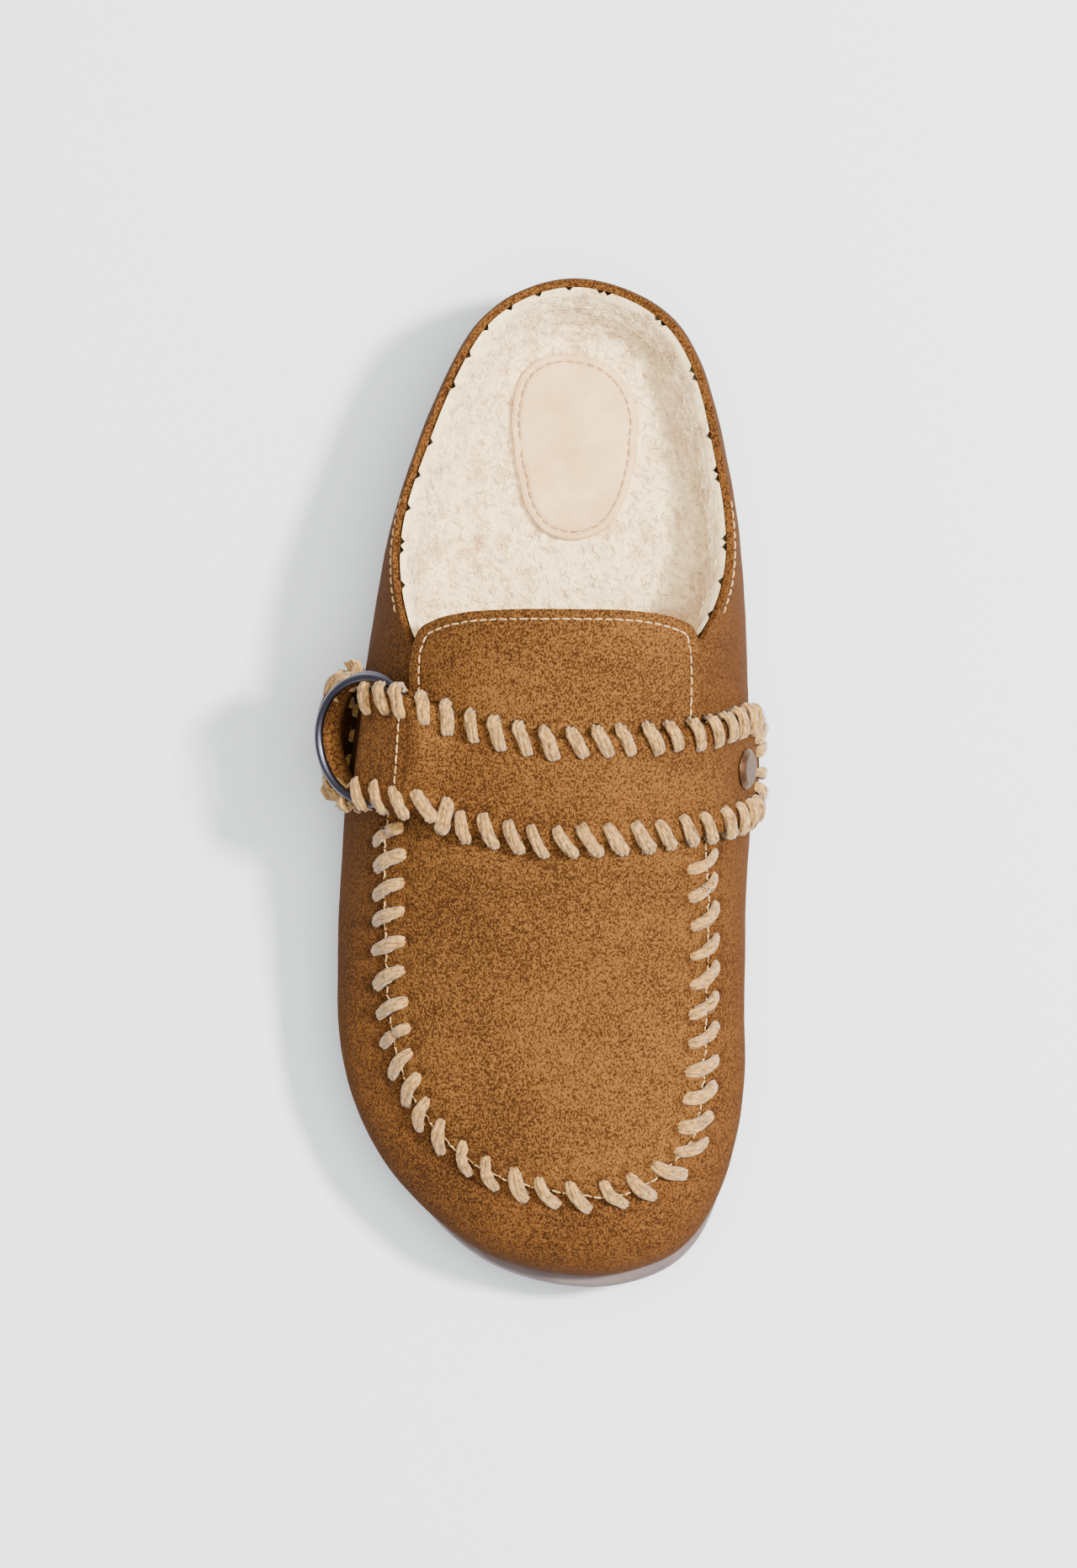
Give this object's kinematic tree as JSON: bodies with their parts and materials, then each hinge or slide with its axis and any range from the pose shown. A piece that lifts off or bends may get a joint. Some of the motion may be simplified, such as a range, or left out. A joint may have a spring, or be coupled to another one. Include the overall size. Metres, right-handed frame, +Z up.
{
  "type": "buckled suede clog",
  "caption": "Backless suede clog for the right foot with a fleece footbed, whipstitched apron, double-ring buckled strap and rubber sole.",
  "frame": {"origin": "on the floor, under the middle of the shoe's length and width", "axes": "+Z up; the toe points along -Y and the heel along +Y; +X is the inner (medial) side of the right foot"},
  "size_m": [0.1136, 0.2599, 0.0777],
  "materials": {
    "sole_rubber": "matt moulded rubber, grey brown",
    "fleece": "curly shearling fleece, cream",
    "patch_suede": "smooth pale suede",
    "upper_suede": "napped suede, dark tan",
    "apron_suede": "napped suede, tan",
    "strap_suede": "napped suede, tan",
    "ring_metal": "dark gunmetal, satin",
    "rivet_metal": "aged dark bronze"
  },
  "bodies": {
    "root": {"outsole": "sole_rubber", "insole": "fleece", "heel_patch": "patch_suede", "upper": "upper_suede", "apron": "apron_suede", "strap": "strap_suede", "side_strap": "strap_suede", "ring_inner": "ring_metal", "ring_outer": "ring_metal", "rivet": "rivet_metal"}
  },
  "joints": []
}
